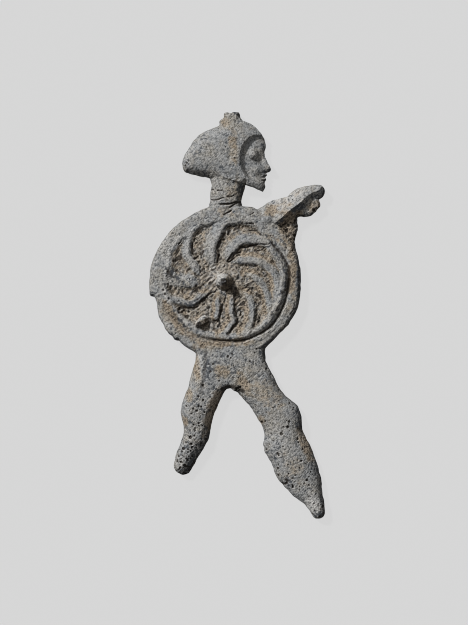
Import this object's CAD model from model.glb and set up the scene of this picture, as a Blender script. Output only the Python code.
# A flat lead figurine of a striding warrior behind a round shield, as it lies on its plain back
# under a studio's soft light. It is one casting, so one detailed mesh stands for the whole of it.
# Places on the figurine are in millimetres from the middle of the shield, which is how its
# maker would have laid it out, and the mesh is brought to metres at the end.
import math

import bpy
import numpy as np
from mathutils import Matrix, Vector
from mathutils.kdtree import KDTree


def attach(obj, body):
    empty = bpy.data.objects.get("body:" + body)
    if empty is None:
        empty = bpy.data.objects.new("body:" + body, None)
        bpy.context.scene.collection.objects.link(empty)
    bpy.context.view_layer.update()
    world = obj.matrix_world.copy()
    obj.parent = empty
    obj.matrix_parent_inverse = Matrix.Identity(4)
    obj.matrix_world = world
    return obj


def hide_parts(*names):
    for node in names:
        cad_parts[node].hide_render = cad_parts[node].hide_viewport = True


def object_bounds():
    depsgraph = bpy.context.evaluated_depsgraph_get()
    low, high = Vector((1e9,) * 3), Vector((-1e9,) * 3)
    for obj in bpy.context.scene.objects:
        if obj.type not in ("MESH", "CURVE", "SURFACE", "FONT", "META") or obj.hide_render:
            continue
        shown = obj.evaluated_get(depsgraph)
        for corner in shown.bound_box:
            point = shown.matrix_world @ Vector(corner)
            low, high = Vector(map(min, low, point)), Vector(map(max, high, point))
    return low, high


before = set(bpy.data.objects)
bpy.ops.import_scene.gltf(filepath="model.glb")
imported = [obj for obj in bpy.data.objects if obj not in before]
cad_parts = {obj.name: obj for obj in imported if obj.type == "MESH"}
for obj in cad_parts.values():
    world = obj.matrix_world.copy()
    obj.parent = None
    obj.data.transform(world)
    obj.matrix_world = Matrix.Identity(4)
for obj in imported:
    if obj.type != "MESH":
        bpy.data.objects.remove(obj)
cad_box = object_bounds()
MILLIMETRE = 0.001
SHIELD_MIDDLE = Vector((-1.317, 3.915, 0.0))


# Camera
# It looks straight down from as far away as a copy stand's, so that the head and the feet are
# seen square on. The middle of the view is a little to the right of the hips and above them.
VIEW_HEIGHT = 70.5
VIEW_MIDDLE = (-0.358, 0.362)
RELIEF_MIDDLE = 1.2
LENS = 100
SENSOR = 36
LENS_BLUR = 1.0
NEAREST_SEEN = 0.01

camera = bpy.data.objects.new("camera", bpy.data.cameras.new("camera"))
bpy.context.collection.objects.link(camera)
camera.data.lens = LENS
camera.data.sensor_width = SENSOR
camera.data.clip_start = NEAREST_SEEN
camera_height = VIEW_HEIGHT * LENS / SENSOR + RELIEF_MIDDLE
camera.location = Vector((*VIEW_MIDDLE, camera_height)) * MILLIMETRE
bpy.context.scene.camera = camera
# A sharp lens: each point of the picture gathers light from little more than its own width.
bpy.context.scene.cycles.filter_width = LENS_BLUR


# Floor and light
# The figurine lies on a pale table that glows a little, as a light table does, so that its
# shadows stay faint. The main light comes low from the upper left and the room fills in.
FLOOR_SIZE = 2.0
FLOOR_TONE = 0.686
FLOOR_GLOW = 0.93
ROOM_GLOW = 0.13

bpy.context.scene.view_settings.view_transform = "Standard"


def floor_material():
    material = bpy.data.materials.new("pale_table")
    material.use_nodes = True
    shader = material.node_tree.nodes["Principled BSDF"]
    shader.inputs["Base Color"].default_value = (*[FLOOR_TONE * (1 - FLOOR_GLOW)] * 3, 1)
    shader.inputs["Roughness"].default_value = 0.9
    shader.inputs["Specular IOR Level"].default_value = 0.0
    shader.inputs["Emission Color"].default_value = (1, 1, 1, 1)
    shader.inputs["Emission Strength"].default_value = FLOOR_TONE * FLOOR_GLOW
    return material


bpy.ops.mesh.primitive_plane_add(size=FLOOR_SIZE, location=(0, 0, 0))
floor = bpy.context.object
floor.name = "table"
floor.data.materials.append(floor_material())
floor.visible_diffuse = False
floor.visible_glossy = False


def sun(name, azimuth, elevation, strength, width):
    data = bpy.data.lights.new(name, "SUN")
    data.energy = strength
    data.angle = math.radians(width)
    light = bpy.data.objects.new(name, data)
    bpy.context.collection.objects.link(light)
    a, e = math.radians(azimuth), math.radians(elevation)
    towards = Vector((math.cos(a) * math.cos(e), math.sin(a) * math.cos(e), math.sin(e)))
    light.rotation_euler = towards.to_track_quat("Z", "Y").to_euler()


sun("window", azimuth=136, elevation=36, strength=3.1, width=6)
sun("room", azimuth=110, elevation=65, strength=0.3, width=50)

world = bpy.data.worlds.new("studio")
world.use_nodes = True
world.node_tree.nodes["Background"].inputs["Color"].default_value = (1.0, 1.0, 1.0, 1)
world.node_tree.nodes["Background"].inputs["Strength"].default_value = ROOM_GLOW
bpy.context.scene.world = world


# The casting
# One pour of lead in a one-sided stone mould: head, shield, arm and legs in one. The mesh
# starts as a copy of the solid, melted into small even faces, and is then worked over.
MESH_STEP = 0.075
SAME_POINT = 0.0005
MELT_ROUNDS = 5
MELT_SHARE = 0.6
BACK_SHARE = 0.12
BACK_HEIGHT = 0.1
# The side wall, between the back and the relief, is found between these heights.
WALL_LOW = 0.2
WALL_HIGH = 0.5

figurine = bpy.data.objects.new("figurine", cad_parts["warrior_figurine"].data.copy())
bpy.context.collection.objects.link(figurine)
to_shield = Matrix.Translation(-SHIELD_MIDDLE) @ Matrix.Scale(1 / MILLIMETRE, 4)
figurine.data.transform(to_shield)
bpy.ops.object.select_all(action="DESELECT")
figurine.select_set(True)
bpy.context.view_layer.objects.active = figurine
bpy.ops.object.mode_set(mode="EDIT")
bpy.ops.mesh.select_all(action="SELECT")
bpy.ops.mesh.remove_doubles(threshold=SAME_POINT)
bpy.ops.object.mode_set(mode="OBJECT")
figurine.data.remesh_voxel_size = MESH_STEP
bpy.ops.object.voxel_remesh()

# The plain back needs far fewer faces than the relief.
bpy.ops.object.mode_set(mode="EDIT")
bpy.ops.mesh.select_mode(type="FACE")
bpy.ops.mesh.select_all(action="DESELECT")
bpy.ops.object.mode_set(mode="OBJECT")
for face in figurine.data.polygons:
    face.select = face.normal.z < -0.9 and face.center.z < BACK_HEIGHT
bpy.ops.object.mode_set(mode="EDIT")
bpy.ops.mesh.decimate(ratio=BACK_SHARE)
bpy.ops.object.mode_set(mode="OBJECT")
bpy.ops.object.select_all(action="DESELECT")


def smoothly(values, low, high):
    on = np.clip((values - low) / (high - low), 0, 1)
    return on * on * (3 - 2 * on)


def swell(places, size, seed):
    """A smooth random swell between -1 and 1, with bumps about this size apart."""
    scaled = places / size + seed * 7.31
    corner = np.floor(scaled).astype(np.int64)
    on = scaled - corner
    on = on * on * on * (on * (on * 6 - 15) + 10)
    total = np.zeros(len(places))
    for step in range(8):
        offset = np.array([step & 1, (step >> 1) & 1, step >> 2])
        x, y, z = (corner + offset).T
        mixed = (x * 374761393 + y * 668265263 + z * 1440662683 + seed * 974711) & 0xFFFFFFFF
        mixed = ((mixed ^ (mixed >> 13)) * 1274126177) & 0xFFFFFFFF
        mixed = ((mixed ^ (mixed >> 16)) * 2246822519) & 0xFFFFFFFF
        mixed = (mixed ^ (mixed >> 13)) & 0xFFFFFF
        share = np.prod(np.where(offset == 1, on, 1 - on), axis=1)
        total += share * (mixed / 0x7FFFFF - 1)
    return total


def swells(places, layers):
    """Swells on top of each other: the height, the size and the seed of each."""
    return sum(height * swell(places, size, seed) for height, size, seed in layers)


class Skin:
    """The casting's surface: its points, and how they lie to each other and to lines in plan."""

    def __init__(self, mesh):
        self.mesh = mesh
        count = len(mesh.vertices)
        flat = np.empty(count * 3)
        mesh.vertices.foreach_get("co", flat)
        self.place = flat.reshape(-1, 3)
        ends = np.empty(len(mesh.edges) * 2, dtype=np.int64)
        mesh.edges.foreach_get("vertices", ends)
        one, other = ends.reshape(-1, 2).T
        self.near = np.concatenate([one, other])
        self.far = np.concatenate([other, one])
        self.neighbours = np.bincount(self.near, minlength=count)

    def soften(self, values, rounds, weight=1.0):
        for _ in range(rounds):
            total = np.bincount(self.near, weights=values[self.far], minlength=len(values))
            values = values + (total / self.neighbours - values) * MELT_SHARE * weight
        return values

    def settle(self):
        """Brings the mesh up to date with the places of its points."""
        self.mesh.vertices.foreach_set("co", self.place.ravel())
        self.mesh.update()

    def normals(self):
        self.settle()
        flat = np.empty(len(self.place) * 3)
        self.mesh.vertices.foreach_get("normal", flat)
        return flat.reshape(-1, 3)

    def from_line(self, points):
        """How far each point is from a line, how far along it, and how much to its lower right."""
        x, y = self.place[:, 0], self.place[:, 1]
        nearest = np.full(len(x), 1e9)
        along = np.zeros(len(x))
        lee = np.zeros(len(x))
        done = 0.0
        for (x0, y0), (x1, y1) in zip(points, points[1:]):
            run_x, run_y = x1 - x0, y1 - y0
            length = max(math.hypot(run_x, run_y), 1e-6)
            on = np.clip(((x - x0) * run_x + (y - y0) * run_y) / length**2, 0, 1)
            off_x, off_y = x - x0 - on * run_x, y - y0 - on * run_y
            away = np.hypot(off_x, off_y)
            closer = away < nearest
            nearest = np.where(closer, away, nearest)
            along = np.where(closer, done + on * length, along)
            lee = np.where(closer, (off_x - off_y) * math.sqrt(0.5) / np.maximum(away, 1e-6), lee)
            done += length
        return nearest, along / done, lee

    def from_rim(self):
        """How far each point is from the outline in plan, and which way the outline faces there."""
        normals = self.normals()
        height = self.place[:, 2]
        upright = np.abs(normals[:, 2]) < 0.5
        wall = np.flatnonzero(upright & (height > WALL_LOW) & (height < WALL_HIGH))
        tree = KDTree(len(wall))
        for spot in wall:
            tree.insert((self.place[spot, 0], self.place[spot, 1], 0), int(spot))
        tree.balance()
        found = [tree.find((x, y, 0)) for x, y in self.place[:, :2]]
        nearest = np.array([spot for _, spot, _ in found])
        out = normals[nearest, :2]
        out = out / np.maximum(np.hypot(out[:, 0], out[:, 1]), 1e-6)[:, None]
        return np.array([away for _, _, away in found]), out

    def patch(self, x, y, width, height, turn=0.0):
        """How near each point is to the middle of an oval patch: 1 there, 0 outside it."""
        cos, sin = math.cos(math.radians(turn)), math.sin(math.radians(turn))
        off_x, off_y = self.place[:, 0] - x, self.place[:, 1] - y
        u = (off_x * cos + off_y * sin) / (width / 2)
        v = (off_y * cos - off_x * sin) / (height / 2)
        ragged = 0.25 * swell(self.place, 0.45, 3)
        return 1 - smoothly(np.hypot(u, v) + ragged, 0.35, 1.25)


# How earthy, sooty, dark, worn and pale each point of the skin is.
STAINS = ("earth", "soot", "dark", "worn", "pale")

skin = Skin(figurine.data)
stain = {name: np.zeros(len(skin.place)) for name in STAINS}
for axis in range(3):
    skin.place[:, axis] = skin.soften(skin.place[:, axis], MELT_ROUNDS)


def rounded(points, steps=5):
    """A smooth line through the points."""
    ends = [points[0], *points, points[-1]]
    line = []
    for before, here, after, last in zip(ends, ends[1:], ends[2:], ends[3:]):
        for step in range(steps):
            t = step / steps
            weights = (
                -t / 2 + t**2 - t**3 / 2,
                1 - 2.5 * t**2 + 1.5 * t**3,
                t / 2 + 2 * t**2 - 1.5 * t**3,
                -(t**2) / 2 + t**3 / 2,
            )
            four = (before, here, after, last)
            line.append(tuple(sum(w * p[k] for w, p in zip(weights, four)) for k in (0, 1)))
    return [*line, points[-1]]


# Where the cast edge stands out, or is torn back: its place, its reach and how far it moves.
EDGE_MOVES = [
    (-8.35, -1.5, 0.35, -0.2, -0.2),
    (-7.3, -4.0, 1.3, -0.14, -0.08),
    (-6.4, -5.6, 0.9, -0.16, -0.1),
    (-5.75, -6.6, 0.3, -0.14, -0.2),
    (-5.2, -6.75, 0.18, 0.06, 0.1),
    (3.0, 8.15, 0.8, 0.0, 0.2),
    (-2.8, 16.9, 1.6, -0.14, 0.16),
    (-0.38, 18.05, 0.38, -0.46, 0.1),
    (6.6, -5.6, 1.6, 0.15, -0.12),
    (10.4, -26.6, 0.5, 0.0, -0.1),
    (5.7, -21.9, 1.0, -0.1, -0.04),
    (-4.9, 13.3, 0.6, -0.14, 0.0),
    (1.35, 18.8, 0.3, 0.08, 0.12),
    (0.65, 18.9, 0.25, 0.0, -0.14),
    (-0.05, 18.8, 0.3, -0.1, 0.02),
    (0.17, -12.0, 0.35, 0.0, -0.16),
    (1.18, -12.07, 0.4, 0.0, -0.36),
    (1.6, -13.2, 1.2, -0.14, -0.08),
    (4.6, -20.6, 1.6, -0.16, -0.06),
    (8.2, -24.3, 1.0, -0.1, -0.12),
    (-5.6, -20.9, 0.8, -0.1, 0.0),
    (7.0, 9.45, 0.5, 0.08, -0.1),
]
for move_x, move_y, reach, shift_x, shift_y in EDGE_MOVES:
    near = np.exp(-((skin.place[:, 0] - move_x) ** 2 + (skin.place[:, 1] - move_y) ** 2) / reach**2)
    skin.place[:, 0] += shift_x * near
    skin.place[:, 1] += shift_y * near

# The whole edge wavers a little, and more where it has torn: along the web, the hand and the stub.
WAVER = [(0.045, 0.95, 31), (0.04, 0.45, 32)]
WAVER_REACH = 0.8
TORN = [(7.6, 5.4, 2.4, 4.0, 0, 2.0), (10.2, 8.4, 2.0, 2.4, 0, 1.2), (0.6, 18.8, 2.4, 1.2, 0, 1.5)]
rim, out = skin.from_rim()
tear = 1 + sum(strength * skin.patch(*place) for *place, strength in TORN)
waver = swells(skin.place * (1, 1, 0), WAVER) * tear
skin.place[:, :2] += out * (waver * (1 - smoothly(rim, 0.0, WAVER_REACH)))[:, None]
plan = skin.place * (1, 1, 0)
lee_rim = (out[:, 0] - out[:, 1]) * math.sqrt(0.5)

# Broad forms: hips, legs, neck and hair are smoothly modelled, and the face keeps its features.
# Each pair is where one form begins to pass into the next, up the figure or across it, and
# where it has done so.
BROAD_ROUNDS = 90
SHIELD_TO_HIPS = (-7.4, -8.4)
SHIELD_TO_NECK = (8.6, 9.2)
NECK_TO_HEAD = (9.8, 10.6)
NECK_TO_HAIR = (10.0, 10.6)
HAIR_TO_FACE = (1.2, 1.9)
NECK_TO_BEARD = (2.2, 2.8)
x, y, z = skin.place.T
upward = smoothly(skin.normals()[:, 2], 0.25, 0.6)
below = smoothly(y, *SHIELD_TO_HIPS)
hair_share = smoothly(y, *NECK_TO_HAIR) * (1 - smoothly(x, *HAIR_TO_FACE))
neck_share = smoothly(y, *SHIELD_TO_NECK) * (1 - smoothly(y, *NECK_TO_HEAD))
neck_share *= 1 - smoothly(x, *NECK_TO_BEARD)
broad = np.clip(below + hair_share + neck_share, 0, 1)
skin.place[:, 2] = skin.soften(z, BROAD_ROUNDS, broad * upward)


# The shield
# Its face was cut into the mould by hand as a whirl of ten curved ridges that run out into a
# ring. Outside the ring is a groove, then a plain flange. Each ridge is a line of crest points
# in millimetres from the middle, its half width and its height.
FIELD = 1.14
FLANGE = 1.5
HUB = 0.2
HUB_RADII = (0.5, 2.6)
# Points above this height belong to the relief, and those below it to the wall and the back.
UPPER = 0.5
WHIRL = [
    (
        [
            (-1.4, 1.3), (-1.38, 2.1), (-1.48, 3.0), (-1.38, 3.9), (-1.0, 4.7), (-0.7, 5.3),
            (-0.4, 5.9), (0.0, 6.4), (0.6, 6.68), (1.4, 6.75),
        ],
        0.98,
        0.42,
    ),
    (
        [
            (-0.12, 1.85), (0.12, 2.4), (0.56, 3.02), (0.98, 3.58), (1.48, 4.05), (2.0, 4.42),
            (2.6, 4.54), (3.4, 4.48), (4.15, 4.4), (4.9, 4.2), (5.5, 3.85),
        ],
        0.86,
        0.4,
    ),
    (
        [
            (0.3, 2.0), (1.0, 2.15), (2.0, 2.25), (3.0, 2.25), (3.8, 2.1), (4.5, 1.82), (5.05, 1.42),
            (5.5, 0.85), (5.8, 0.2), (5.95, -0.6), (5.92, -1.5), (5.78, -2.4), (5.45, -3.0),
        ],
        0.75,
        0.36,
    ),
    (
        [
            (2.3, 0.78), (3.0, 0.6), (3.6, 0.2), (4.1, -0.35), (4.5, -1.0), (4.85, -1.8), (5.05, -2.6),
            (5.1, -3.3),
        ],
        0.7,
        0.33,
    ),
    (
        [
            (1.7, -1.3), (2.3, -1.5), (2.75, -1.9), (3.0, -2.5), (3.08, -3.2), (3.08, -3.9),
            (2.98, -4.6), (2.78, -5.2), (2.5, -5.7), (2.2, -6.0),
        ],
        0.7,
        0.29,
    ),
    (
        [
            (0.6, -1.4), (0.72, -2.0), (0.76, -2.8), (0.78, -3.6), (0.92, -4.3), (0.88, -4.75),
            (0.58, -5.15), (0.3, -5.55), (0.0, -5.95), (-0.35, -6.3),
        ],
        0.6,
        0.31,
    ),
    (
        [
            (-0.85, -1.7), (-0.88, -2.4), (-0.85, -3.0), (-0.85, -3.6), (-1.0, -4.15),
        ],
        0.5,
        0.27,
    ),
    (
        [
            (-1.5, -1.1), (-2.2, -1.55), (-2.8, -1.95), (-3.3, -2.35), (-3.9, -2.65), (-4.5, -2.55),
            (-5.2, -2.35), (-6.0, -2.15), (-6.5, -1.75), (-6.8, -1.25), (-6.95, -0.8),
        ],
        0.66,
        0.29,
    ),
    (
        [
            (-2.7, -0.25), (-3.6, -0.3), (-4.4, -0.28), (-5.1, -0.15), (-5.8, 0.1), (-6.25, 0.55),
            (-6.6, 1.2),
        ],
        1.15,
        0.32,
    ),
    (
        [
            (-2.85, 0.4), (-3.05, 1.0), (-3.35, 1.5), (-3.65, 1.95), (-3.95, 2.35), (-4.2, 2.85),
            (-4.22, 3.5), (-4.14, 4.3), (-3.95, 5.0), (-3.65, 5.7),
        ],
        0.74,
        0.36,
    ),
]
# How much narrower than its half width a ridge is on its steep side, at the lower right.
RIDGE_LEAN = 0.52
# The ridges stand this many times as high as listed, and their edges and the ring's wander.
RIDGE_LIFT = 1.05
WANDER = [(0.07, 1.3, 5), (0.05, 0.6, 6)]
# The ring's crest at an angle (degrees from the right): its radius and height above the field.
RING = [
    (-180, 7.0, 0.38),
    (-165, 6.85, 0.36),
    (-150, 6.75, 0.32),
    (-140, 6.6, 0.32),
    (-130, 6.4, 0.32),
    (-117, 6.6, 0.36),
    (-105, 6.35, 0.42),
    (-88, 6.35, 0.46),
    (-73, 6.44, 0.48),
    (-59, 6.55, 0.5),
    (-47, 6.58, 0.52),
    (-41, 6.52, 0.52),
    (-36, 6.36, 0.5),
    (-30, 6.36, 0.5),
    (-24, 6.45, 0.5),
    (-12, 6.38, 0.5),
    (0, 6.45, 0.5),
    (10, 6.56, 0.48),
    (22, 6.46, 0.46),
    (30, 6.3, 0.44),
    (37, 6.25, 0.4),
    (43, 6.55, 0.4),
    (52, 7.0, 0.38),
    (60, 7.2, 0.38),
    (66, 7.2, 0.4),
    (74, 7.0, 0.44),
    (82, 6.85, 0.46),
    (90, 6.7, 0.44),
    (95, 6.95, 0.38),
    (101, 6.9, 0.38),
    (107, 6.72, 0.38),
    (114, 6.98, 0.38),
    (119, 6.95, 0.4),
    (124, 6.75, 0.42),
    (129, 6.45, 0.42),
    (131, 6.5, 0.4),
    (134, 6.95, 0.4),
    (145, 7.08, 0.4),
    (152, 7.1, 0.4),
    (158, 6.95, 0.4),
    (164, 6.8, 0.4),
    (172, 6.85, 0.38),
    (180, 7.0, 0.38),
]
# Half of the ring's width, how much less it is round the top and the left, and how much wider
# its inner side is worn at the left.
RING_HALF_WIDTH = 0.62
RING_NARROWER = 0.18
RING_WORN = 0.45
# The groove outside the ring at an angle: its radius and how deep it is below the flange.
GROOVE = [
    (-180, 7.5, 0.0),
    (-160, 7.5, 0.05),
    (-150, 7.3, 0.12),
    (-140, 7.2, 0.16),
    (-130, 7.05, 0.16),
    (-117, 6.98, 0.16),
    (-103, 6.77, 0.26),
    (-90, 6.75, 0.3),
    (-81, 6.87, 0.32),
    (-73, 6.99, 0.34),
    (-60, 7.03, 0.36),
    (-53, 7.14, 0.38),
    (-45, 7.22, 0.4),
    (-38, 7.2, 0.42),
    (-28, 7.11, 0.42),
    (-14, 7.09, 0.42),
    (-4, 7.17, 0.4),
    (4, 7.27, 0.36),
    (11, 7.3, 0.3),
    (16, 7.16, 0.24),
    (27, 6.98, 0.22),
    (36, 6.7, 0.2),
    (44, 6.95, 0.05),
    (60, 7.6, 0.0),
    (90, 7.2, 0.0),
    (129, 7.0, 0.0),
    (150, 7.6, 0.0),
    (180, 7.5, 0.0),
]
GROOVE_HALF_WIDTH = 0.28
# The flange's outer edge has dropped, most of all at the lower right.
FLANGE_DROP = 0.06
FLANGE_DROP_LEE = 0.12
FLANGE_DROP_RADII = (7.6, 8.5)
# The boss and the peg lean to the left: the foot's middle and radius, then the tip's middle,
# radius and height.
SPIKES = [
    ((-0.08, -0.12), 1.05, (-0.25, -0.02), 0.3, 2.94),
    ((-2.25, -4.45), 0.68, (-3.05, -4.85), 0.24, 1.95),
]
SPIKE_LEVELS = 16
SPIKE_EDGE = 0.06
TIP_LEVEL = 0.93
# The neck, the arm and the hips come in over the rim: middle, width and depth.
OVER_RIM = [(0.0, 8.4, 3.8, 1.9), (4.6, 7.1, 2.8, 2.2), (0.5, -8.4, 7.4, 2.2)]


def round_the_shield(table, angle):
    angles, radii, heights = zip(*table)
    return np.interp(angle, angles, radii), np.interp(angle, angles, heights)


x, y, z = skin.place.T
radius = np.hypot(x, y)
angle = np.degrees(np.arctan2(y, x))
ring_radius, ring_height = round_the_shield(RING, angle)
groove_radius, groove_depth = round_the_shield(GROOVE, angle)
lower_right = np.cos(np.radians(angle + 45))
wander = swells(plan, WANDER)

whirl_rise = np.zeros(len(x))
lee_side = np.zeros(len(x))
lit_side = np.zeros(len(x))
lee_foot = np.zeros(len(x))
for crest, half_width, height in WHIRL:
    away, along, lee = skin.from_line(rounded(crest))
    half = half_width * (1 - RIDGE_LEAN * lee) * (0.7 + 0.3 * smoothly(along, 0, 0.3)) + wander
    share_out = np.clip(away / half, 0, 1)
    profile = np.where(lee > 0, np.cos(share_out * math.pi / 2) ** 1.15, 1 - share_out**1.3)
    rise = RIDGE_LIFT * height * profile * smoothly(along, -0.08, 0.25)
    higher = rise > whirl_rise
    whirl_rise = np.maximum(whirl_rise, rise)
    lee_side = np.where(higher, smoothly(lee, 0.1, 0.7) * smoothly(share_out, 0.15, 0.6), lee_side)
    lit_side = np.where(higher, smoothly(-lee, -0.2, 0.3) * smoothly(share_out, 0.2, 0.6), lit_side)
    foot = np.exp(-(((away - half) / 0.12) ** 2)) * smoothly(lee, 0.2, 0.8) * smoothly(along, 0.0, 0.2)
    lee_foot = np.maximum(lee_foot, foot * (rise + 0.1 > whirl_rise))
ring_half = RING_HALF_WIDTH - RING_NARROWER * smoothly(-lower_right, 0.2, 0.8)
ring_half += RING_WORN * np.maximum(smoothly(angle, 112, 138), smoothly(-angle, 148, 162))
inner_share = np.clip((ring_radius + wander - radius) / ring_half, 0, 1)
ring_rise = ring_height * np.cos(inner_share * math.pi / 2) ** 1.1
hub = HUB * (1 - smoothly(radius, *HUB_RADII))
inner = FIELD + hub + np.maximum(whirl_rise, ring_rise)
# From the ring's crest the metal falls to the groove, and from there it climbs to the flange.
crest_height = FIELD + np.maximum(whirl_rise, ring_height)
groove_bottom = FLANGE - groove_depth
fall = smoothly(radius, ring_radius, groove_radius) ** 2
climb = smoothly(radius - groove_radius, 0, GROOVE_HALF_WIDTH)
flange_drop = (FLANGE_DROP + FLANGE_DROP_LEE * lower_right) * smoothly(radius, *FLANGE_DROP_RADII)
outer = crest_height + (groove_bottom - crest_height) * fall
outer = outer + (FLANGE - outer) * climb - flange_drop
relief = np.where(radius < ring_radius, inner, outer)
near_spike = np.zeros(len(x))
spike_tip = np.zeros(len(x))
for (foot_x, foot_y), foot_radius, (tip_x, tip_y), tip_radius, tip_height in SPIKES:
    # Each level of a leaning spike is a disc between the foot's and the tip's.
    for level in np.linspace(0, 1, SPIKE_LEVELS):
        off = np.hypot(x - foot_x - (tip_x - foot_x) * level, y - foot_y - (tip_y - foot_y) * level)
        disc = foot_radius + (tip_radius - foot_radius) * level**1.1
        inside = 1 - smoothly(off, disc - SPIKE_EDGE, disc + SPIKE_EDGE)
        height = FIELD + (tip_height - FIELD) * level
        relief = np.where(height > relief, relief + (height - relief) * inside, relief)
        near_spike = np.maximum(near_spike, inside * smoothly(level, 0.0, 0.3))
        spike_tip = np.maximum(spike_tip, inside * (level > TIP_LEVEL))
share = (1 - smoothly(radius, 7.7, 8.15)) * smoothly(skin.normals()[:, 2], 0.1, 0.4)
share = np.maximum(share, (1 - smoothly(radius, 6.0, 6.3)) * (z > UPPER))
for over_x, over_y, wide, deep in OVER_RIM:
    off = np.hypot((x - over_x) / (wide / 2), (y - over_y) / (deep / 2))
    share *= smoothly(off, 0.75, 1.15)
skin.place[:, 2] = z + (relief - z) * share

# Earth lies in the fields, and dirt in the groove and at the foot of every steep side.
on_shield = (1 - smoothly(radius, 8.0, 8.4)) * (z > UPPER)
in_ring = 1 - smoothly(radius - ring_radius, -0.6, -0.15)
in_field = (1 - smoothly(whirl_rise, 0.08, 0.26)) * in_ring * on_shield
in_groove = np.exp(-(((radius - groove_radius) / 0.17) ** 2)) * smoothly(groove_depth, 0.05, 0.3)
in_groove *= on_shield
ring_lee = smoothly(radius, ring_radius + 0.1, ring_radius + 0.35) * (radius < groove_radius)
ring_lee *= smoothly(groove_depth, 0.1, 0.3)
stain["earth"] += 0.6 * in_field * (1 - near_spike)
# The crust is broken into flecks along the steep sides and along the ring's crest.
flecks = smoothly(swell(plan, 0.34, 41), -0.3, 0.3)
ring_crest = np.exp(-(((radius - ring_radius - 0.1) / 0.14) ** 2)) * smoothly(lower_right, -0.4, 0.4)
stain["earth"] += 0.55 * lit_side * on_shield * (whirl_rise > 0) * smoothly(lower_right, -0.6, 0.2)
foot_dirt = (0.25 + 0.65 * flecks) * lee_foot * on_shield * (whirl_rise < 0.25)
stain["dark"] += (0.4 + 0.5 * flecks) * in_groove + foot_dirt
stain["soot"] += (0.3 + 0.6 * flecks) * lee_side * smoothly(whirl_rise, 0.1, 0.22) * on_shield
stain["soot"] += 0.9 * flecks * ring_crest * on_shield
stain["soot"] += 0.1 * ring_lee * on_shield
stain["soot"] += 0.5 * near_spike + 0.8 * spike_tip
stain["dark"] += 0.4 * spike_tip
stain["earth"] += 0.5 * near_spike * (1 - spike_tip)


# Arm, hair and legs
# The arm is a raised ridge: its upper side slopes gently and its lower side is steep. Below it
# the broken hand is flat. Every edge towards the lower right falls away, the legs' most of all.
ARM_CREST = [
    (5.0, 6.1),
    (5.7, 6.62),
    (6.3, 7.12),
    (6.9, 7.65),
    (7.5, 8.15),
    (8.1, 8.58),
    (8.7, 9.08),
    (9.25, 9.6),
    (9.8, 9.95),
    (10.5, 10.2),
]
ARM_HEIGHT = 2.05
HAND_HEIGHT = 1.1
ARM_SLOPE = 0.48
ARM_FACET = 0.8
# How far the arm reaches from its crest: below it, more at the hand, and above it.
ARM_BELOW = 0.85
HAND_BELOW = 1.6
ARM_ABOVE = 2.6
# The flanks are this wide and drop this far, except in some ovals of the surface: each has
# its middle, width, height and turn, how wide the flank is there and how far it drops.
FLANK_WIDTH = 0.55
FLANK_DROP = 0.3
FLANKS = [
    (-1.4, -14.6, 3.0, 8.4, -16, 1.15, 0.52),
    (-3.6, -20.2, 4.2, 5.4, -20, 1.2, 0.65),
    (1.9, 10.0, 2.6, 3.4, 0, 0.9, 0.5),
    (-3.2, 12.0, 5.4, 2.2, -8, 0.75, 0.5),
    (8.5, -15.9, 2.0, 3.0, 0, 0.4, 0.2),
    (9.3, -19.0, 2.6, 5.6, 25, 1.3, 0.32),
    (0.5, -12.0, 3.2, 1.6, 0, 0.5, 0.6),
    (10.9, 9.8, 2.0, 2.6, 0, 0.5, 0.35),
    (10.8, -25.6, 2.4, 3.4, 0, 0.5, 0.25),
]

x, y, z = skin.place.T
top = smoothly(skin.normals()[:, 2], 0.1, 0.45)
away, along, lee = skin.from_line(rounded(ARM_CREST))
at_hand = smoothly(along, 0.5, 0.85)
crest_z = FLANGE + (ARM_HEIGHT - FLANGE) * smoothly(along, 0.0, 0.4) - 0.4 * smoothly(along, 0.6, 1.0)
facet_width = ARM_FACET * (1 - 0.35 * at_hand)
below_crest = (crest_z - HAND_HEIGHT - 0.15 * at_hand) * np.clip(away / facet_width, 0, 1) ** 0.9
arm_z = crest_z - np.where(lee > 0, below_crest, ARM_SLOPE * away)
reach = np.where(lee > 0, ARM_BELOW + HAND_BELOW * smoothly(x, 8.2, 8.9), ARM_ABOVE)
on_arm = (1 - smoothly(away, reach - 0.3, reach)) * smoothly(along, 0.0, 0.2)
on_arm *= smoothly(x, 4.2, 5.4) * (z > UPPER)
skin.place[:, 2] = np.minimum(z, arm_z) * on_arm + z * (1 - on_arm)
skin.place[:, 2] += np.maximum(arm_z - z, 0) * on_arm * top
arm_facet = on_arm * (lee > 0) * (1 - smoothly(away, facet_width - 0.1, facet_width + 0.3))
arm_facet *= 1 - 0.6 * at_hand

flank_width = np.full(len(x), FLANK_WIDTH)
flank_drop = np.full(len(x), FLANK_DROP)
for *place, width, drop in FLANKS:
    near = skin.patch(*place)
    flank_width += (width - flank_width) * near
    flank_drop += (drop - flank_drop) * near
flank = smoothly(lee_rim, 0.05, 0.75) * (1 - smoothly(rim / flank_width, -0.3, 1.0))
skin.place[:, 2] -= flank * flank_drop * smoothly(skin.place[:, 2], 0.35, 1.1)
stain["soot"] += 0.55 * arm_facet + 0.6 * flank * smoothly(skin.place[:, 2], 0.2, 0.6)
stain["dark"] += 0.5 * smoothly(lee_rim, 0.2, 0.8) * (1 - smoothly(rim, 0.12, 0.35))


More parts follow.
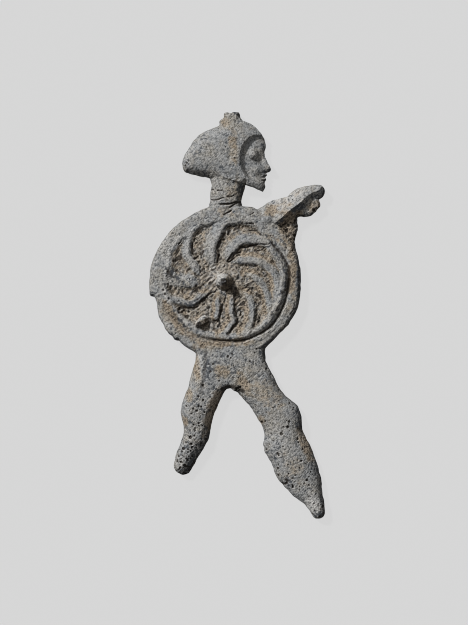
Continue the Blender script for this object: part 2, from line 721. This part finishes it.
# Wear, cracks and pits
# The lead has cracked across the neck, has been scratched, and is eaten by small pits, most of
# all at the knees and feet. Each line is its points, its half width and its depth.
LINES = [
    ([(-1.6, 10.36), (-1.28, 10.32)], 0.08, 0.16),
    ([(-0.98, 10.22), (-0.28, 10.19)], 0.07, 0.16),
    ([(-1.75, 9.21), (-1.0, 9.16), (-0.55, 9.3), (-0.08, 9.42)], 0.07, 0.16),
    ([(0.1, 9.5), (0.7, 9.52), (1.05, 9.78)], 0.07, 0.12),
    ([(-0.8, 8.65), (0.0, 8.66), (0.6, 8.72), (1.2, 8.92), (1.8, 8.86)], 0.1, 0.24),
    ([(0.4, 8.2), (0.8, 8.5), (1.4, 8.87)], 0.09, 0.2),
    ([(-0.3, 7.42), (0.3, 7.72), (0.75, 8.0)], 0.09, 0.2),
    ([(2.75, 7.4), (3.25, 7.75)], 0.07, 0.12),
    ([(1.15, -12.25), (1.45, -12.05), (1.8, -11.9)], 0.12, 0.25),
    ([(4.12, -9.81), (2.2, -11.73)], 0.08, 0.05),
    ([(3.55, -10.15), (1.97, -11.51)], 0.08, 0.05),
    ([(0.62, -9.48), (1.97, -10.49)], 0.07, 0.04),
    ([(3.3, -10.9), (2.6, -11.6)], 0.08, 0.045),
    ([(4.4, -10.3), (3.4, -11.2)], 0.08, 0.045),
    ([(1.35, 3.75), (1.7, 3.87), (2.4, 3.8), (2.8, 4.0), (3.3, 4.06), (3.8, 4.2)], 0.1, 0.24),
    ([(3.8, 4.2), (4.5, 4.12), (5.1, 4.2)], 0.07, 0.12),
    ([(0.12, 2.1), (0.45, 2.6), (0.75, 3.05), (0.95, 3.25)], 0.1, 0.24),
    ([(0.9, 3.2), (1.3, 3.15), (1.85, 3.3)], 0.08, 0.18),
    ([(0.2, 2.05), (0.72, 2.35), (1.0, 2.6), (1.35, 2.88), (1.75, 2.95)], 0.08, 0.18),
    ([(3.35, 3.33), (3.8, 3.45), (4.1, 3.5), (4.42, 3.85)], 0.08, 0.2),
    ([(4.35, 3.42), (4.6, 3.65)], 0.06, 0.12),
    ([(1.9, 5.58), (2.8, 5.66), (3.7, 5.76)], 0.08, 0.12),
    ([(2.3, 6.45), (2.75, 6.5), (3.25, 6.4)], 0.1, 0.16),
    ([(-3.62, 2.4), (-3.3, 2.6), (-3.05, 2.9)], 0.1, 0.2),
    ([(-3.78, 3.5), (-3.74, 4.0), (-3.68, 4.35)], 0.08, 0.16),
    ([(-3.64, 4.6), (-3.4, 4.75)], 0.08, 0.16),
    ([(-0.9, 2.0), (-0.85, 2.5), (-0.7, 2.9), (-0.66, 3.1)], 0.1, 0.2),
    ([(-0.92, 3.3), (-0.97, 3.9), (-0.75, 4.3), (-0.45, 4.8)], 0.08, 0.16),
    ([(-0.36, 4.58), (-0.05, 4.75)], 0.1, 0.18),
    ([(0.25, 5.1), (0.4, 5.5), (0.6, 5.8)], 0.1, 0.18),
    ([(-2.86, 0.8), (-2.86, 1.7)], 0.07, 0.18),
    ([(-2.45, 0.75), (-2.38, 1.5)], 0.07, 0.16),
    ([(-5.35, 4.05), (-5.0, 4.5), (-4.85, 4.8)], 0.08, 0.12),
    ([(-1.05, -0.7), (-1.15, -1.2), (-1.7, -1.32), (-2.1, -1.7), (-2.6, -2.1), (-3.0, -2.4)], 0.09, 0.2),
    ([(-3.0, -2.75), (-3.35, -3.0), (-3.75, -3.1)], 0.08, 0.18),
    ([(-5.4, -3.6), (-4.9, -3.48), (-4.6, -3.2)], 0.12, 0.16),
    ([(-4.3, -3.55), (-4.0, -3.42)], 0.08, 0.16),
    ([(0.0, -1.5), (-0.05, -2.1), (-0.2, -2.5)], 0.08, 0.12),
    ([(-0.35, -2.6), (-0.35, -3.2), (-0.5, -3.5), (-0.6, -3.95)], 0.08, 0.12),
    ([(-1.0, -4.6), (-0.7, -4.55), (-0.65, -4.95), (-1.0, -5.25)], 0.08, 0.16),
    ([(1.42, -4.15), (1.3, -4.6), (1.15, -5.0)], 0.09, 0.18),
    ([(1.8, -3.4), (1.66, -3.95)], 0.09, 0.16),
    ([(3.75, -4.0), (3.85, -4.3), (3.7, -4.7), (3.4, -5.0)], 0.09, 0.18),
    ([(2.2, -0.7), (2.75, -0.72)], 0.07, 0.16),
    ([(3.1, -0.6), (3.0, -1.1), (2.9, -1.4)], 0.07, 0.14),
    ([(7.65, -2.4), (7.75, -2.7), (7.6, -3.3), (7.25, -3.75), (6.9, -4.2)], 0.09, 0.08),
]
# A soft crease runs down the trailing thigh from the rim.
CREASES = [([(-2.14, -7.33), (-2.26, -9.14), (-2.54, -11.73), (-2.82, -13.2)], 0.22, 0.06)]
# A pit's mouth is this share of its listed width, and this dark.
PIT_MOUTH = 0.68
PIT_DARKNESS = 1.1
# Single pits: where, how wide and how deep.
PITS = [
    (-7.0, -1.0, 0.2, 0.1),
    (-6.8, -1.5, 0.18, 0.1),
    (-6.4, -2.0, 0.16, 0.1),
    (-6.45, 1.0, 0.24, 0.1),
    (-6.6, 0.6, 0.14, 0.08),
    (-6.5, -0.7, 0.16, 0.1),
    (-6.2, -0.9, 0.14, 0.1),
    (-3.3, -0.55, 0.24, 0.08),
    (9.98, 8.01, 0.26, 0.25),
    (8.74, 7.33, 0.2, 0.2),
    (7.8, 5.17, 0.24, 0.3),
    (6.9, 5.68, 0.28, 0.25),
    (2.76, -9.05, 0.16, 0.14),
    (3.16, -9.15, 0.14, 0.12),
    (0.28, -8.5, 0.22, 0.12),
    (0.6, -8.66, 0.16, 0.1),
    (-1.67, -10.2, 0.18, 0.1),
    (3.3, -8.1, 0.16, 0.1),
    (-4.35, 13.3, 0.16, 0.1),
    (-4.15, 13.5, 0.14, 0.1),
    (-4.5, 13.0, 0.14, 0.1),
    (0.75, -8.2, 0.14, 0.1),
    (-1.4, -9.35, 0.16, 0.1),
    (3.5, -7.65, 0.16, 0.1),
    (4.6, -9.9, 0.18, 0.14),
    (-0.7, -11.25, 0.16, 0.12),
    (-3.95, -17.6, 0.26, 0.25),
    (-3.82, -18.35, 0.2, 0.2),
    (-3.75, -18.72, 0.2, 0.18),
    (-4.75, -18.9, 0.24, 0.22),
    (-2.25, -17.85, 0.24, 0.2),
    (-2.75, -18.3, 0.24, 0.2),
    (-4.6, -20.75, 0.24, 0.2),
    (-5.0, -20.4, 0.2, 0.18),
    (-4.35, -20.95, 0.2, 0.16),
    (-5.1, -21.05, 0.18, 0.16),
    (-3.0, -14.1, 0.18, 0.16),
    (-2.72, -14.15, 0.18, 0.16),
    (-3.62, -14.4, 0.16, 0.14),
    (-3.22, -14.6, 0.2, 0.14),
    (-2.5, -13.42, 0.2, 0.18),
    (-3.05, -13.0, 0.18, 0.18),
    (-2.52, -11.75, 0.2, 0.18),
    (-3.82, -14.92, 0.16, 0.14),
    (-3.0, -16.0, 0.18, 0.16),
    (-3.55, -16.18, 0.16, 0.14),
    (-4.42, -14.05, 0.16, 0.12),
    (-2.35, -14.78, 0.16, 0.12),
    (4.12, -15.9, 0.22, 0.2),
    (4.5, -15.8, 0.16, 0.12),
    (7.02, -16.42, 0.24, 0.2),
    (7.15, -15.82, 0.2, 0.16),
    (6.3, -17.2, 0.26, 0.14),
    (8.12, -17.8, 0.2, 0.2),
    (4.62, -19.0, 0.16, 0.14),
    (5.9, -19.45, 0.22, 0.12),
    (9.18, -22.42, 0.2, 0.18),
    (5.98, -21.9, 0.16, 0.12),
    (5.9, -21.1, 0.2, 0.1),
    (8.7, -18.95, 0.16, 0.12),
]
# The ringed crater near the shin's foot: its middle, the ring's radius, its width and depth.
CRATER = ((6.66, -22.6), 0.3, 0.13, 0.2)
# Scattered pits: an oval of the surface, how many, and how wide they are.
SCATTERED = [
    ((-4.6, -20.6), (2.4, 3.6), 90, 0.12),
    ((-3.3, -17.6), (3.0, 3.4), 40, 0.11),
    ((-2.8, -14.4), (3.6, 4.0), 30, 0.1),
    ((8.6, -22.4), (4.6, 5.0), 60, 0.11),
    ((7.2, -18.6), (5.0, 5.0), 45, 0.11),
    ((5.8, -15.4), (4.6, 4.4), 35, 0.1),
    ((0.8, -9.6), (7.6, 5.0), 45, 0.09),
    ((10.4, -26.0), (1.6, 2.2), 25, 0.12),
    ((0.0, 0.0), (16.8, 16.8), 150, 0.09),
    ((0.0, 14.6), (7.5, 6.5), 40, 0.08),
    ((7.0, 5.6), (2.4, 5.0), 40, 0.13),
    ((7.6, 9.0), (6.0, 3.0), 30, 0.08),
]
# Patches of tan earth: the middle, the width, the height, the turn and the strength.
EARTH = [
    (0.85, 14.8, 1.5, 5.6, 0, 0.6),
    (0.06, 17.9, 1.3, 1.7, 0, 0.7),
    (0.9, 10.3, 2.4, 3.0, 0, 0.45),
    (0.0, 7.8, 3.4, 1.6, 0, 0.5),
    (5.13, 7.9, 1.9, 1.4, 30, 1.0),
    (7.95, 7.4, 2.4, 1.2, 35, 0.6),
    (7.2, 9.3, 6.0, 2.0, 35, 0.35),
    (10.1, 8.4, 2.2, 1.8, 0, 0.8),
    (7.05, 5.8, 2.4, 5.4, 0, 0.9),
    (7.5, 1.2, 1.2, 7.0, 0, 1.0),
    (7.4, -2.6, 1.0, 3.0, -20, 0.5),
    (-6.3, -4.1, 2.0, 4.6, 32, 0.35),
    (-1.7, -7.3, 4.0, 0.9, 0, 0.6),
    (0.5, -6.9, 7.6, 1.0, 0, 0.8),
    (-3.3, -9.8, 1.1, 4.6, 8, 0.8),
    (-0.3, -10.2, 2.2, 1.9, 0, 0.8),
    (2.1, -11.6, 1.7, 3.8, 30, 0.9),
    (4.8, -12.9, 3.2, 5.2, 30, 0.5),
    (4.0, -15.7, 1.2, 1.4, 0, 0.7),
    (9.0, -18.5, 1.5, 4.8, 25, 0.9),
    (7.6, -21.1, 2.2, 2.6, 0, 0.5),
    (-4.1, -13.0, 1.2, 1.6, 0, 0.8),
    (-4.5, -15.8, 0.9, 1.6, 0, 0.8),
    (-1.4, -14.5, 1.6, 6.4, -18, 1.2),
]
# Patches of bluish dark crust, in the same way.
SOOT = [
    (-4.0, -17.9, 3.2, 6.4, 0, 0.35),
    (-4.7, -21.5, 2.4, 1.5, 0, 0.9),
    (-2.9, -13.4, 1.7, 3.4, 0, 0.45),
    (-2.2, -8.9, 0.9, 6.4, 4, 0.6),
    (4.1, -7.2, 1.4, 2.2, 0, 0.5),
    (8.2, -15.7, 1.3, 3.2, 0, 0.5),
    (5.6, -19.1, 2.6, 3.4, 0, 0.4),
    (6.7, -22.6, 1.6, 1.4, 0, 0.7),
    (10.5, -26.5, 1.8, 1.6, 0, 0.9),
    (-6.1, -6.2, 2.4, 0.7, -45, 1.0),
    (-8.3, -1.4, 1.0, 0.6, -30, 1.0),
    (8.35, 0.6, 0.7, 6.5, 0, 0.8),
    (-2.4, 16.0, 1.2, 1.5, 35, 0.9),
    (-3.3, 14.4, 1.5, 0.6, 25, 0.9),
    (-4.4, 13.2, 0.8, 1.0, 0, 0.8),
    (-1.1, 14.5, 1.2, 0.7, 25, 0.6),
    (-6.4, 13.3, 1.4, 1.0, -20, 0.5),
    (-2.0, 12.4, 2.6, 0.6, -5, 0.6),
    (0.9, 18.85, 1.1, 0.5, 0, 0.8),
    (-4.4, -2.7, 3.4, 0.9, 10, 0.9),
    (7.2, 7.45, 3.6, 0.8, 40, 0.9),
    (1.6, 10.0, 1.1, 3.0, 0, 0.5),
    (0.8, -9.2, 7.6, 4.2, 0, 0.4),
    (-5.9, -4.6, 1.8, 3.6, 32, 0.4),
    (0.5, -11.9, 2.4, 0.7, 0, 0.8),
]

# Patches where the metal is pale: the arm, round the boss, the flange, the hair and the legs.
PALE = [
    (7.2, 9.3, 5.6, 1.9, 35, 0.65),
    (-1.15, 0.3, 2.0, 3.4, 0, 0.9),
    (-0.75, 0.5, 1.8, 1.1, 45, 1.0),
    (-6.35, -4.85, 2.2, 1.0, -50, 0.6),
    (10.0, 8.2, 2.2, 1.8, 0, 0.3),
    (8.8, -18.2, 1.4, 3.8, 25, 0.4),
    (6.6, -18.4, 3.2, 4.0, 0, 0.2),
    (-1.6, -14.0, 1.5, 6.0, -18, 1.0),
    (-2.85, -9.3, 0.8, 4.6, 4, 0.5),
    (9.9, -25.3, 2.1, 3.4, 15, 0.9),
    (-6.8, 3.6, 1.2, 5.0, 0, 0.35),
    (-4.4, 14.4, 2.6, 1.6, 0, 0.2),
]
# Patches that are worn smooth: the hair, the arm's upper side, the hips and the legs.
WORN = [
    (-1.2, 14.6, 7.4, 7.5, 0, 1.0),
    (2.5, 16.8, 3.0, 2.0, -30, 0.8),
    (7.0, 8.9, 8.0, 2.4, 35, 1.2),
    (3.4, 13.6, 4.0, 7.5, 0, 0.8),
    (0.8, -9.4, 8.0, 5.0, 0, 0.5),
    (-3.4, -13.5, 3.0, 8.0, 10, 0.5),
    (6.0, -16.0, 5.5, 12.0, 25, 0.5),
]

# Pits, cuts and grain are on the skin above this height.
WORN_ABOVE = 0.3
rng = np.random.default_rng(7)
normals = skin.normals()
top = smoothly(normals[:, 2], 0.0, 0.35) * (skin.place[:, 2] > WORN_ABOVE)

# Streaks that follow the relief: what is on the metal, how strongly, the line and its half width.
# Flecks are a crust that has broken up.
STREAKS = [
    (
        "pale",
        0.8,
        [(-5.2, 5.1), (-5.6, 4.6), (-6.25, 3.4), (-6.55, 2.2), (-6.75, 1.2), (-6.9, -0.8)],
        0.16,
    ),
    ("pale", 1.2, [(-6.9, -1.1), (-6.6, -1.9), (-6.45, -2.4)], 0.2),
    ("pale", 0.5, [(-5.5, -3.7), (-4.9, -4.25), (-4.2, -4.75), (-3.6, -4.9)], 0.3),
    ("pale", 0.6, [(-5.0, 0.5), (-4.4, 0.2), (-3.6, 0.1)], 0.2),
    ("pale", 2.0, [(-3.4, -4.9), (-3.27, -4.55), (-2.95, -4.25), (-2.5, -4.05), (-2.0, -3.92)], 0.18),
    ("pale", 0.5, [(-3.3, 1.4), (-4.2, 2.9), (-4.2, 4.3), (-3.7, 5.6)], 0.35),
    ("pale", 0.4, [(-1.5, 2.5), (-1.5, 3.5), (-1.1, 4.6), (-0.6, 5.6)], 0.35),
    ("flecks", 1.3, [(-5.9, -3.6), (-5.35, -4.2), (-4.9, -4.65), (-4.5, -5.0), (-4.05, -5.15)], 0.22),
    ("soot", 0.5, [(-6.2, 0.9), (-5.1, 0.05), (-4.4, -0.35), (-3.0, -0.4)], 0.6),
    ("flecks", 0.5, [(-6.0, 0.7), (-5.1, -0.1), (-4.4, -0.6), (-3.2, -0.65)], 0.3),
    ("flecks", 1.2, [(0.8, -2.1), (0.86, -3.0), (0.98, -4.3)], 0.2),
    ("flecks", 1.2, [(0.95, -4.7), (0.55, -5.4), (0.2, -5.9)], 0.22),
    ("flecks", 0.9, [(3.2, -2.2), (3.3, -3.2), (3.2, -4.4)], 0.18),
    (
        "flecks",
        1.1,
        [(4.7, 5.1), (5.3, 4.3), (5.9, 3.3), (6.4, 2.4), (6.65, 1.4), (6.8, 0.5), (6.9, -1.0)],
        0.24,
    ),
    ("dark", 0.5, [(-2.0, -4.35), (-2.8, -4.75)], 0.4),
    ("flecks", 1.3, [(-6.5, 1.3), (-6.3, 0.7), (-5.9, 0.3)], 0.35),
    ("flecks", 1.2, [(-6.8, -0.3), (-6.5, -1.0)], 0.3),
    ("flecks", 1.2, [(-5.7, -2.3), (-5.0, -2.6), (-4.3, -2.95)], 0.25),
    ("flecks", 0.9, [(-3.6, -2.2), (-3.0, -1.8), (-2.5, -1.5)], 0.2),
    ("dark", 1.2, [(-0.4, -12.2), (0.1, -11.95), (0.8, -11.95), (1.4, -12.15), (2.0, -12.4)], 0.22),
    (
        "earth",
        0.8,
        [(-6.9, -2.4), (-6.4, -3.4), (-5.8, -4.4), (-5.0, -5.4), (-4.0, -6.1), (-2.8, -6.8)],
        0.45,
    ),
]
specks = smoothly(swell(plan, 0.24, 43), -0.25, 0.15)
for kind, strength, points, half_width in STREAKS:
    away, _, _ = skin.from_line(rounded(points))
    amount = strength * np.exp(-((away / half_width) ** 2))
    if kind == "flecks":
        stain["soot"] += specks * amount
        stain["dark"] += 0.4 * specks * amount
    else:
        stain[kind] += amount

for points, half_width, depth in LINES + CREASES:
    away, along, _ = skin.from_line(rounded(points))
    ends = smoothly(along, 0.0, 0.12) * (1 - smoothly(along, 0.88, 1.0))
    cut = np.exp(-((away / half_width) ** 3)) * ends * top * (1 - 0.5 * on_shield * (1 - specks))
    skin.place[:, 2] -= depth * cut
    stain["dark"] += cut * min(1.2, depth * 8)


def sink(pit_x, pit_y, width, depth, darkness):
    away = np.hypot(skin.place[:, 0] - pit_x, skin.place[:, 1] - pit_y)
    near = away < width * 2
    cut = np.exp(-((away[near] / (width * PIT_MOUTH)) ** 4)) * top[near]
    skin.place[near, 2] -= depth * cut
    stain["dark"][near] += darkness * cut


for pit_x, pit_y, width, depth in PITS:
    sink(pit_x, pit_y, width, depth, PIT_DARKNESS)
(crater_x, crater_y), ring_size, ring_width, ring_depth = CRATER
off_x, off_y = skin.place[:, 0] - crater_x, skin.place[:, 1] - crater_y
crater = np.exp(-(((np.hypot(off_x, off_y) - ring_size) / ring_width) ** 2))
crater *= smoothly(off_x - off_y, -0.45, 0.1)
skin.place[:, 2] -= ring_depth * crater * top
stain["dark"] += crater
for (middle_x, middle_y), (wide, tall), count, size in SCATTERED:
    for _ in range(count):
        far, turn = math.sqrt(rng.random()), rng.random() * 2 * math.pi
        width = size * (0.7 + 0.9 * rng.random() ** 2)
        pit_x = middle_x + wide / 2 * far * math.cos(turn)
        pit_y = middle_y + tall / 2 * far * math.sin(turn)
        sink(pit_x, pit_y, width, width * (0.3 + 0.5 * rng.random()), 0.4 + 0.5 * rng.random())

for kind, patches in (("earth", EARTH), ("soot", SOOT), ("pale", PALE), ("worn", WORN)):
    for *place, strength in patches:
        stain[kind] += strength * skin.patch(*place)
# The ridges' crests and the flange are worn as well.
stain["worn"] += 0.35 * smoothly(whirl_rise, 0.1, 0.3) * on_shield
stain["worn"] += 0.4 * smoothly(radius - groove_radius, 0.1, 0.5) * on_shield

# The whole skin is rough, and the whirl's fields most of all: they are left as they were
# gouged, with short marks that run one way, up to the right.
CRACK_DEPTH = 0.12
GOUGE_HEIGHT = 0.105
GRAIN_HEIGHT = 0.016
FIELD_GRAIN_HEIGHT = 0.045
LUMP_HEIGHT = 0.035
# The gouges: their height, how much longer they are than wide, their size and their seed.
GOUGES = [(1, 1.9, 0.22, 11), (0.7, 1.6, 0.38, 12)]
GRAIN = [(1, 0.3, 13), (0.8, 0.2, 14)]
LUMPS = [(1, 2.4, 21), (0.5, 1.1, 22)]
# Rough too: the web below the arm, the neck and the side of the head.
TORN_FACES = [
    (7.35, 5.6, 2.0, 4.2, 0, 0.9),
    (0.6, 10.4, 3.4, 4.6, 0, 0.5),
    (0.7, 15.2, 2.2, 7.0, 0, 0.4),
]
x, y, z = skin.place.T
scratch = (x + y) * math.sqrt(0.5)
across = (x - y) * math.sqrt(0.5)
grit = np.zeros(len(x))
for height, stretch, size, seed in GOUGES:
    grit += height * swell(np.column_stack([scratch / stretch, across, z * 0]), size, seed)
grain = swells(skin.place, GRAIN)
lumps = swells(skin.place, LUMPS)
torn = sum(strength * skin.patch(*place) for *place, strength in TORN_FACES)
rough = 1 - 0.6 * np.clip(stain["worn"], 0, 1)
gouged = np.clip(in_field + torn, 0, 1)
cracked = smoothly(grit, 0.3, 0.9) * gouged
grain_height = GRAIN_HEIGHT * rough + FIELD_GRAIN_HEIGHT * gouged
skin.place[:, 2] -= CRACK_DEPTH * cracked * top
skin.place[:, 2] += (GOUGE_HEIGHT * grit * gouged + grain_height * grain) * top
skin.place[:, 2] += LUMP_HEIGHT * lumps * (1 - share) * top
stain["dark"] += 0.85 * cracked
# Dirt stays in the small hollows, the lee of the boss is stained, and small crests are worn pale.
hollow = (skin.soften(skin.place[:, 2], 6) - skin.place[:, 2]) * top
stain["dark"] += 0.55 * smoothly(hollow, 0.006, 0.04) * (1 - 0.5 * np.clip(stain["worn"], 0, 1))
stain["pale"] += 0.5 * smoothly(-hollow, 0.004, 0.03) * (1 - near_spike)
stain["dark"] += 0.6 * skin.patch(0.95, -0.95, 2.0, 1.2, -45) * (1 - near_spike)


# Patina
# Weathered lead: dull mid grey, mottled with a bluish dark crust, tan earth in the hollows and
# black in the cracks and pits. The metal itself is worn free on the crests.

# Bare of dirt: the metal at the upper left of the boss and of the peg.
BARE = [(-0.75, 0.5, 1.6, 1.0, 45, 0.7), (-3.1, -4.45, 1.1, 0.5, 35, 1)]
normals = skin.normals()
facing = (normals[:, 0] - normals[:, 1]) * math.sqrt(0.5)
stain["soot"] += 0.4 * smoothly(facing, 0.25, 0.75)
lit_spike = near_spike * smoothly(-facing, 0.1, 0.5) * (1 - spike_tip)
stain["pale"] += 1.5 * lit_spike
stain["earth"] -= 0.5 * lit_spike
stain["soot"] -= 0.8 * lit_spike
bare = sum(strength * skin.patch(*place) for *place, strength in BARE)
stain["dark"] *= 1 - np.clip(lit_spike + bare, 0, 1)
stain["dark"] += 0.55 * near_spike * smoothly(facing, 0.1, 0.6)
stain["earth"] += 0.5 * near_spike * smoothly(facing, 0.1, 0.6)

for name, values in stain.items():
    attribute = figurine.data.attributes.new(name, "FLOAT", "POINT")
    attribute.data.foreach_set("value", np.clip(values, 0, 1).astype(np.float32))

# The skin's finest marks run up to the right, and are this much longer than they are wide.
MARK_TURN = 45
MARK_LENGTH = 1.6
# Relief that is too fine for the mesh is this high.
BUMP_HEIGHT = 0.2


class Value:
    """A number or colour in the material, so that its maths reads as plain expressions."""

    def __init__(self, tree, socket):
        self.tree = tree
        self.socket = socket

    def maths(self, operation, *others):
        node = self.tree.nodes.new("ShaderNodeMath")
        node.operation = operation
        for slot, other in zip(node.inputs, (self, *others)):
            if isinstance(other, Value):
                self.tree.links.new(other.socket, slot)
            else:
                slot.default_value = other
        return Value(self.tree, node.outputs[0])

    def __add__(self, other):
        return self.maths("ADD", other)

    __radd__ = __add__

    def __mul__(self, other):
        return self.maths("MULTIPLY", other)

    __rmul__ = __mul__

    def __sub__(self, other):
        return self.maths("SUBTRACT", other)

    def __rsub__(self, other):
        return (self * -1) + other

    def held(self):
        return self.maths("MINIMUM", 1.0).maths("MAXIMUM", 0.0)

    def between(self, low, high):
        return ((self - low) * (1 / (high - low))).held()


class Paint:
    """Builds one material node by node."""

    def __init__(self, name):
        self.material = bpy.data.materials.new(name)
        self.material.use_nodes = True
        self.tree = self.material.node_tree
        self.shader = self.tree.nodes["Principled BSDF"]
        self.place = self.node("ShaderNodeTexCoord", "Object")
        turned = {"vector_type": "TEXTURE"}
        marks = {"Rotation": (0, 0, math.radians(MARK_TURN)), "Scale": (MARK_LENGTH, 1, 1)}
        self.brushed = self.node("ShaderNodeMapping", 0, turned, Vector=self.place, **marks)

    def node(self, kind, output=0, settings=None, **inputs):
        made = self.tree.nodes.new(kind)
        for name, value in (settings or {}).items():
            setattr(made, name, value)
        for name, value in inputs.items():
            self.put(value, made.inputs[name.replace("_", " ")])
        return Value(self.tree, made.outputs[output])

    def put(self, value, slot):
        if isinstance(value, Value):
            self.tree.links.new(value.socket, slot)
        else:
            slot.default_value = value

    def attribute(self, name):
        return self.node("ShaderNodeAttribute", "Fac", {"attribute_name": name})

    def noise(self, size, detail=3.0, rough=0.55, place=None):
        looks = {"Scale": 1 / (size * MILLIMETRE), "Detail": detail, "Roughness": rough}
        return self.node("ShaderNodeTexNoise", "Fac", Vector=place or self.place, **looks)

    def mix(self, share, under, over):
        made = self.tree.nodes.new("ShaderNodeMix")
        made.data_type = "RGBA"
        self.put(share, made.inputs["Factor"])
        self.put(under, made.inputs[6])
        self.put(over, made.inputs[7])
        return Value(self.tree, made.outputs[2])


LEAD = (0.292, 0.292, 0.286, 1)
LEAD_COOL = (0.262, 0.274, 0.284, 1)
LEAD_WARM = (0.325, 0.29, 0.232, 1)
LEAD_PALE = (0.58, 0.565, 0.54, 1)
LEAD_DARK = (0.09, 0.09, 0.088, 1)
CRUST = (0.048, 0.055, 0.065, 1)
EARTH_TONE = (0.39, 0.308, 0.22, 1)
EARTH_DARK = (0.10, 0.072, 0.045, 1)
BLACK = (0.019, 0.013, 0.008, 1)


def patina():
    paint = Paint("weathered_lead")
    cloud = paint.noise(size=2.2, detail=4)
    mottle = paint.noise(size=0.8, rough=0.6)
    spot = paint.noise(size=0.36, detail=2)
    speck = paint.noise(size=0.22, detail=1, rough=0.5, place=paint.brushed)
    dust = paint.noise(size=0.14, detail=0, rough=0.5, place=paint.brushed)
    earth, soot, dark, worn, pale = (paint.attribute(name) for name in STAINS)
    rough = 1 - worn * 0.35
    grain = speck * 0.4 + dust * 0.6
    cool = (1.1 - cloud * 1.2 - mottle * 0.5).between(0.2, 0.5)
    warm = (mottle * 0.5 + cloud * 0.7 + earth * 0.3).between(0.56, 0.84)
    tone = paint.mix(cool * 0.8, LEAD, LEAD_COOL)
    tone = paint.mix(warm * 0.8, tone, LEAD_WARM)
    tone = paint.mix(pale * 0.9, tone, LEAD_PALE)
    strength = 0.36 + cloud.between(0.4, 0.6) * 0.15 + rough * 0.2
    tone = paint.mix(grain.between(0.5, 0.66) * strength * 0.65, tone, LEAD_PALE)
    tone = paint.mix((1 - grain).between(0.5, 0.64) * strength * 1.15, tone, LEAD_DARK)
    crust = (0.5 - spot) * 1.9 + (0.5 - speck) * 1.2 + (0.5 - mottle) * 0.7 + (0.5 - cloud) * 0.7
    tone = paint.mix((crust + soot * 0.5 - 0.1 * worn).between(0.22, 0.5) * 0.85, tone, CRUST)
    soil = paint.mix(grain.between(0.38, 0.56), EARTH_DARK, EARTH_TONE)
    soiled = (earth + (mottle - 0.5) * 1.6 + (spot - 0.5) * 1.0).between(0.25, 0.95)
    tone = paint.mix(soiled * 0.75, tone, soil)
    tone = paint.mix(dark.between(0.1, 0.8) * 0.9, tone, BLACK)
    paint.put(tone, paint.shader.inputs["Base Color"])
    paint.put(0.6 + 0.25 * soiled, paint.shader.inputs["Roughness"])
    paint.shader.inputs["Specular IOR Level"].default_value = 0.35
    height = (spot * 0.5 + speck * 0.4 + dust * 0.2) * rough
    bump = paint.node("ShaderNodeBump", Strength=1.0, Distance=BUMP_HEIGHT * MILLIMETRE, Height=height)
    paint.put(bump, paint.shader.inputs["Normal"])
    return paint.material


# Nothing stands out past the solid that it was cast as. Where the finished skin is plain, on
# the back and down the sides, it keeps fewer faces.
MOST_TRIANGLES = 196000
MARGIN = 0.002
low, high = (np.array(to_shield @ Vector(corner)) for corner in cad_box)
skin.place = np.clip(skin.place, low + MARGIN, high - MARGIN)
skin.settle()
thinned = figurine.modifiers.new("thinned", "DECIMATE")
thinned.ratio = MOST_TRIANGLES / sum(len(face.vertices) - 2 for face in figurine.data.polygons)
bpy.context.view_layer.objects.active = figurine
bpy.ops.object.modifier_apply(modifier="thinned")
figurine.data.transform(to_shield.inverted())
figurine.data.materials.clear()
figurine.data.materials.append(patina())
for face in figurine.data.polygons:
    face.use_smooth = True
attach(figurine, "root")
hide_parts("warrior_figurine")
